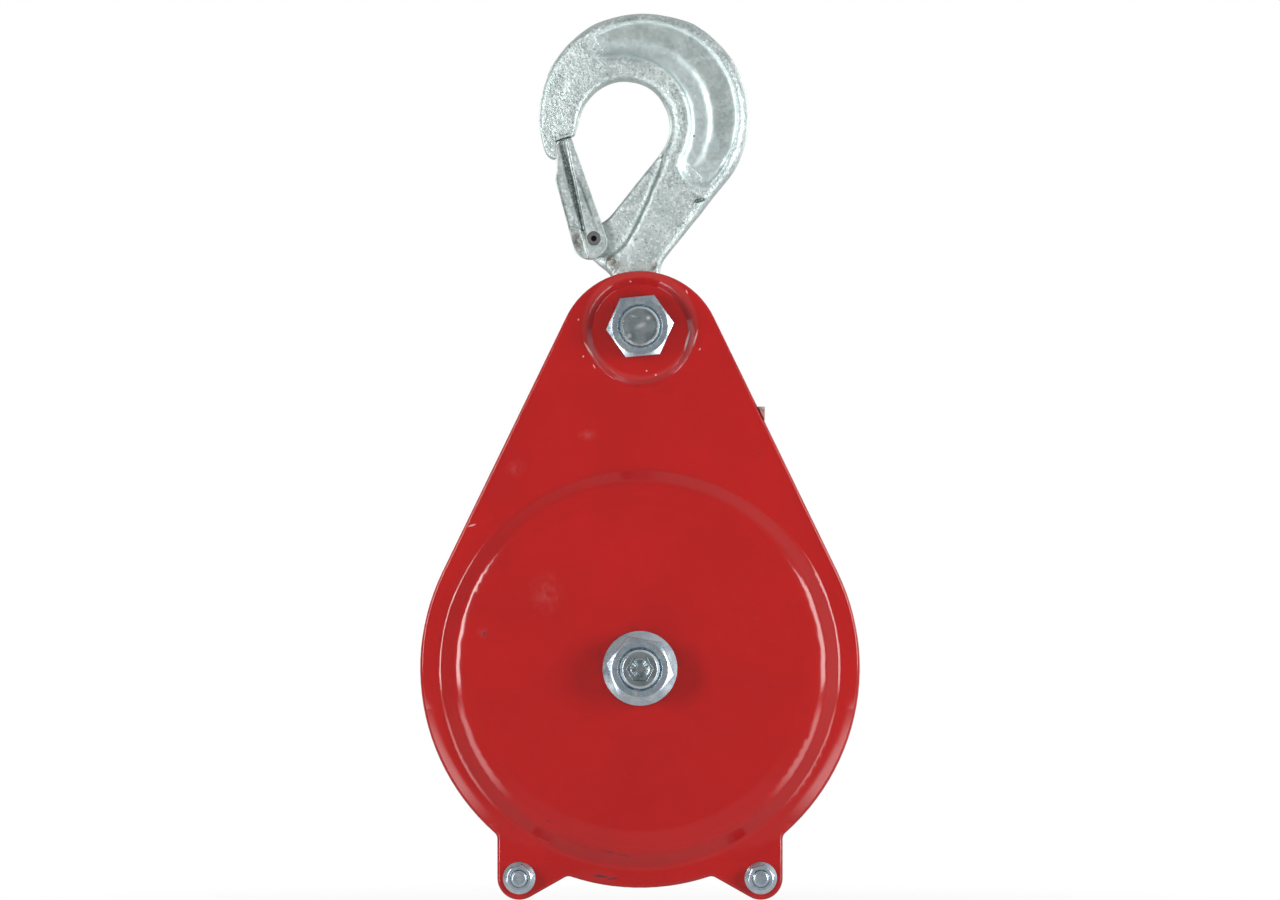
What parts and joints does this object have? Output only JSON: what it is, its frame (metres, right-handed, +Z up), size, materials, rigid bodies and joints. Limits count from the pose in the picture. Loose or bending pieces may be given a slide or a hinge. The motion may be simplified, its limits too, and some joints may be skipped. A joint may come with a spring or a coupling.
{
  "type": "snatch block",
  "caption": "Pear shaped hook block for wire rope: pressed cheeks, one grooved sheave, swinging rear cheek and a forged swivel hook with safety latch.",
  "frame": {"origin": "where the load line, straight up from the hook bolt, meets the inside of the hook's bowl", "axes": "+Z up along the load line, +X to the right seen from the front cheek, +Y back through the block along the axle"},
  "size_m": [0.2684, 0.089, 0.5415],
  "materials": {
    "red_paint": "gloss red paint on pressed steel sheet",
    "zinc_plate": "bright zinc plating",
    "galvanised": "galvanised forging, slightly pitted",
    "bare_steel": "machined steel",
    "bronze": "plain bearing bronze",
    "spring_steel": "drawn spring wire"
  },
  "bodies": {
    "hook": {"hook": "galvanised", "latch_pin": "bare_steel", "latch_spring": "spring_steel"},
    "latch": {"latch": "galvanised"},
    "block": {"front_cheek": "red_paint", "axle": "zinc_plate", "axle_flange_nut": "zinc_plate", "thrust_washer_front": "bronze", "thrust_washer_rear": "bronze", "hook_bolt": "zinc_plate", "hook_bolt_nut": "zinc_plate", "hook_bolt_washer": "zinc_plate", "hook_bush": "bare_steel", "guard_bolt_left": "zinc_plate", "guard_bolt_right": "zinc_plate", "guard_sleeve_left": "zinc_plate", "guard_sleeve_right": "zinc_plate", "guard_nut_left": "zinc_plate", "guard_nut_right": "zinc_plate"},
    "sheave": {"sheave": "bare_steel", "sheave_bush": "bronze"},
    "rear_cheek": {"rear_cheek": "red_paint"}
  },
  "joints": [
    {"name": "hook_swing", "type": "hinge", "parent": "hook", "child": "block", "pos_m": [0, 0, -0.14812], "axis": [0, 1, 0], "range_deg": [-90, 90]},
    {"name": "sheave_spin", "type": "hinge", "parent": "block", "child": "sheave", "pos_m": [0, 0, -0.35642], "axis": [0, 1, 0], "continuous": true},
    {"name": "rear_cheek_swing", "type": "hinge", "parent": "block", "child": "rear_cheek", "pos_m": [0, 0, -0.35642], "axis": [0, 1, 0], "range_deg": [0, 120]},
    {"name": "latch_pivot", "type": "hinge", "parent": "hook", "child": "latch", "pos_m": [-0.0282, 0, -0.09422], "axis": [0, 1, 0], "range_deg": [0, 45], "stiffness_Nm_per_rad": 0.3, "springref_deg": -45.84, "deforming": ["latch_spring"]}
  ]
}
